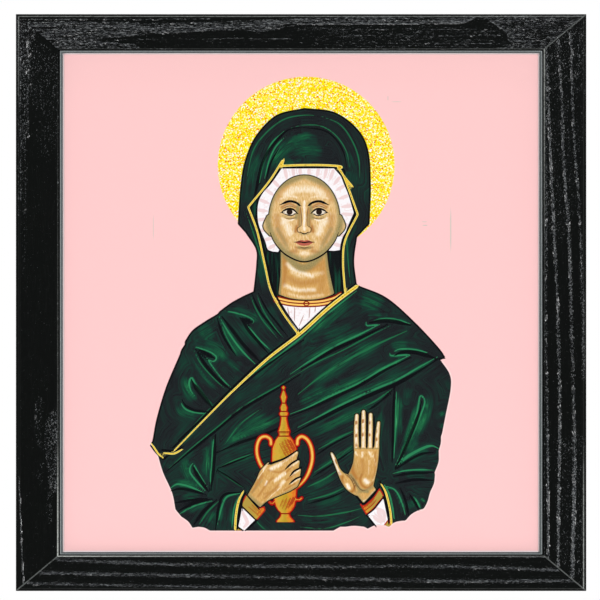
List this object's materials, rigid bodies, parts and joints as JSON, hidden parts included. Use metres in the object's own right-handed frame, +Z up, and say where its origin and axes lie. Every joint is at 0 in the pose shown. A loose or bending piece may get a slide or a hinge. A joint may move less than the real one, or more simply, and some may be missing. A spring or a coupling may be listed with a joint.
{
  "type": "religious icon tile",
  "caption": "Glazed ceramic tile printed with a traditional veiled saint, in a black open-grain wood frame with a sawtooth hanger for the wall.",
  "frame": {"origin": "middle of the flat back of the hanger, on the wall", "axes": "+X to the right seen from the front, +Y into the wall, so the picture faces -Y, +Z up"},
  "size_m": [0.178, 0.0186, 0.18],
  "materials": {
    "frame_wood": "black stain over open grain, satin",
    "tile_glaze": "flat colour print under a gloss glaze",
    "board": "plain brown hardboard",
    "point_steel": "bright rolled steel",
    "hanger_steel": "pressed steel, brass plated",
    "nail_steel": "brass plated nail",
    "felt": "dense dark felt"
  },
  "bodies": {
    "root": {"frame_rail_top": "frame_wood", "frame_rail_bottom": "frame_wood", "frame_stile_left": "frame_wood", "frame_stile_right": "frame_wood", "tile": "tile_glaze", "backing_board": "board", "point_top_left": "point_steel", "point_top_right": "point_steel", "point_bottom_left": "point_steel", "point_bottom_right": "point_steel", "point_left_upper": "point_steel", "point_left_lower": "point_steel", "point_right_upper": "point_steel", "point_right_lower": "point_steel", "sawtooth_hanger": "hanger_steel", "hanger_nail_left": "nail_steel", "hanger_nail_right": "nail_steel", "bumper_left": "felt", "bumper_right": "felt"}
  },
  "joints": []
}
